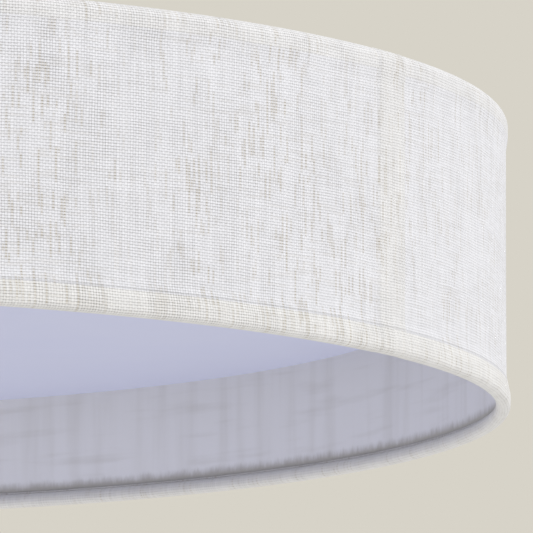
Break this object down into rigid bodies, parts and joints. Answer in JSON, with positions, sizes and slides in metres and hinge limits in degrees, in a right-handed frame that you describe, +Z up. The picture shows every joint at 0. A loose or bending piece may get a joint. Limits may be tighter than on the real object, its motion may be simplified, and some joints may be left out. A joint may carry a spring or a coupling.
{
  "type": "flush mount ceiling light",
  "caption": "Round flush mount ceiling light: linen drum shade with a smooth lining, recessed opal diffuser and LED bars on a white steel pan with a slotted crossbar.",
  "frame": {"origin": "centre of the crossbar's top face, in the plane of the ceiling", "axes": "+Z up into the ceiling, along the drum's axis; +X along the crossbar; the picture looks along +Y"},
  "size_m": [0.5, 0.5, 0.0825],
  "materials": {
    "white_steel": "satin powder coat",
    "zinc_steel": "zinc plated",
    "spring_steel": "rolled spring steel",
    "brass_screw": "plain brass",
    "nickel": "satin nickel plate",
    "board": "white solder mask on aluminium",
    "rivet": "plain aluminium",
    "chip": "clear silicone over phosphor",
    "connector": "moulded nylon",
    "lead": "smooth sheath",
    "driver_shell": "fine moulded texture",
    "circuit": "solder mask",
    "terminal": "moulded nylon",
    "grommet": "moulded rubber",
    "linen": "plain weave with slubs",
    "liner": "smooth lining sheet",
    "opal": "satin opal acrylic"
  },
  "bodies": {
    "base": {"base_pan": "white_steel", "ceiling_bracket": "zinc_steel", "ground_screw": "brass_screw", "mounting_studs": "zinc_steel", "stud_lock_nuts": "zinc_steel", "cap_nuts": "nickel", "shade_studs": "zinc_steel", "driver_case": "driver_shell", "driver_cover": "driver_shell", "driver_circuit": "circuit", "driver_screws": "zinc_steel", "terminal_block": "terminal", "terminal_screws": "brass_screw", "mains_lead": "lead", "output_lead": "lead", "wire_grommet": "grommet", "led_chips": "chip", "bar_screws": "zinc_steel", "bar_connectors": "connector", "bar_links": "lead", "clip_rivets": "rivet", "led_bar_1": "board", "led_bar_2": "board", "led_bar_3": "board", "led_bar_4": "board", "led_bar_5": "board", "led_bar_6": "board", "diffuser_clip_1": "spring_steel", "diffuser_clip_2": "spring_steel", "diffuser_clip_3": "spring_steel"},
    "shade": {"shade_fabric": "linen", "shade_liner": "liner", "top_ring": "white_steel", "bottom_ring": "white_steel", "shade_arm_1": "white_steel", "shade_arm_2": "white_steel", "shade_arm_3": "white_steel"},
    "diffuser": {"diffuser": "opal"},
    "washer_1": {"nut_washer_1": "zinc_steel"},
    "nut_1": {"thumb_nut_1": "nickel"},
    "washer_2": {"nut_washer_2": "zinc_steel"},
    "nut_2": {"thumb_nut_2": "nickel"},
    "washer_3": {"nut_washer_3": "zinc_steel"},
    "nut_3": {"thumb_nut_3": "nickel"}
  },
  "joints": [
    {"name": "shade_lift", "type": "slide", "parent": "base", "child": "shade", "axis": [0, 0, 1], "range_m": [-0.06, 0]},
    {"name": "diffuser_pull", "type": "slide", "parent": "shade", "child": "diffuser", "axis": [0, 0, 1], "range_m": [-0.06, 0]},
    {"name": "washer_drop_1", "type": "slide", "parent": "shade", "child": "washer_1", "axis": [0, 0, 1], "range_m": [-0.0105, 0]},
    {"name": "nut_turn_1", "type": "hinge", "parent": "washer_1", "child": "nut_1", "pos_m": [0, 0.19, -0.0318], "axis": [0, 0, 1], "range_deg": [-5400, 0]},
    {"name": "washer_drop_2", "type": "slide", "parent": "shade", "child": "washer_2", "axis": [0, 0, 1], "range_m": [-0.0105, 0]},
    {"name": "nut_turn_2", "type": "hinge", "parent": "washer_2", "child": "nut_2", "pos_m": [-0.16454, -0.095, -0.0318], "axis": [0, 0, 1], "range_deg": [-5400, 0]},
    {"name": "washer_drop_3", "type": "slide", "parent": "shade", "child": "washer_3", "axis": [0, 0, 1], "range_m": [-0.0105, 0]},
    {"name": "nut_turn_3", "type": "hinge", "parent": "washer_3", "child": "nut_3", "pos_m": [0.16454, -0.095, -0.0318], "axis": [0, 0, 1], "range_deg": [-5400, 0]}
  ],
  "couplings": [
    {"joint": "nut_turn_1", "follows": "washer_drop_1", "rad_per_m": 8976},
    {"joint": "nut_turn_2", "follows": "washer_drop_2", "rad_per_m": 8976},
    {"joint": "nut_turn_3", "follows": "washer_drop_3", "rad_per_m": 8976}
  ]
}
